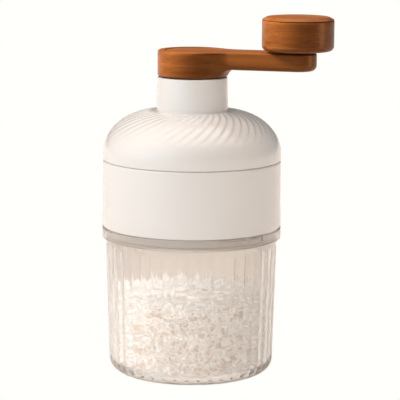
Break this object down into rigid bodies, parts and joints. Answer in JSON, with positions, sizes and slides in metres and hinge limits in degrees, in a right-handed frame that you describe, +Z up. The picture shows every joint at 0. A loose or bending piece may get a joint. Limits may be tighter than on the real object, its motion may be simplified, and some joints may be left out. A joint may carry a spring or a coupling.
{
  "type": "rotary grater",
  "caption": "Hand-cranked rotary grater: domed white lid and grater body on a clear reeded jar, crank arm with a free-turning knob, sprung pusher over a disc with toothed blades.",
  "frame": {"origin": "centre of the jar's flat base, on the surface it stands on", "axes": "+Z up along the shaft, +X along the crank arm from the shaft to the knob"},
  "size_m": [0.1544, 0.1196, 0.24],
  "materials": {
    "clear_plastic": "clear moulded plastic, reeded, glossy",
    "white_plastic": "warm white moulded plastic, high gloss",
    "inner_plastic": "off-white moulded plastic, satin",
    "brown_handle": "brown satin finish with faint wood grain",
    "stainless": "stainless steel, fine brushed",
    "silicone": "translucent grey-white silicone",
    "nylon": "natural nylon"
  },
  "bodies": {
    "jar": {"jar": "clear_plastic"},
    "jar_ring": {"jar_seal": "silicone"},
    "grater": {"grater_body": "white_plastic", "blade_disc": "inner_plastic", "disc_screw_1": "stainless", "disc_screw_2": "stainless", "disc_screw_3": "stainless", "blade_1": "stainless", "blade_2": "stainless", "blade_screw_1": "stainless", "blade_screw_2": "stainless", "blade_screw_3": "stainless", "blade_screw_4": "stainless"},
    "lid_ring": {"lid_seal": "silicone"},
    "lid": {"dome_lid": "white_plastic", "neck_bush": "nylon", "thrust_washer": "nylon"},
    "crank": {"drive_shaft": "stainless", "shaft_clip": "stainless", "spring": "stainless", "crank_arm": "brown_handle", "crank_washer": "stainless", "crank_screw": "stainless", "crank_cap": "brown_handle", "knob_axle": "stainless", "knob_washer": "nylon"},
    "pusher": {"pusher": "inner_plastic"},
    "knob": {"knob_body": "brown_handle", "knob_cap": "brown_handle"}
  },
  "joints": [
    {"name": "head_lift", "type": "slide", "parent": "jar", "child": "jar_ring", "axis": [0, 0, 1], "range_m": [0, 0.06]},
    {"name": "head_twist", "type": "hinge", "parent": "jar_ring", "child": "grater", "pos_m": [0, 0, 0.095], "axis": [0, 0, 1], "range_deg": [-20, 0]},
    {"name": "lid_lift", "type": "slide", "parent": "grater", "child": "lid_ring", "axis": [0, 0, 1], "range_m": [0, 0.06]},
    {"name": "lid_twist", "type": "hinge", "parent": "lid_ring", "child": "lid", "pos_m": [0, 0, 0.14], "axis": [0, 0, 1], "range_deg": [-20, 0]},
    {"name": "crank_spin", "type": "hinge", "parent": "lid", "child": "crank", "pos_m": [0, 0, 0.19], "axis": [0, 0, 1], "continuous": true},
    {"name": "press_travel", "type": "slide", "parent": "crank", "child": "pusher", "axis": [0, 0, 1], "range_m": [0, 0.03], "stiffness_N_per_m": 300, "springref_m": -0.02, "deforming": ["spring"]},
    {"name": "knob_spin", "type": "hinge", "parent": "crank", "child": "knob", "pos_m": [0.071, 0, 0.228], "axis": [0, 0, 1], "continuous": true}
  ]
}
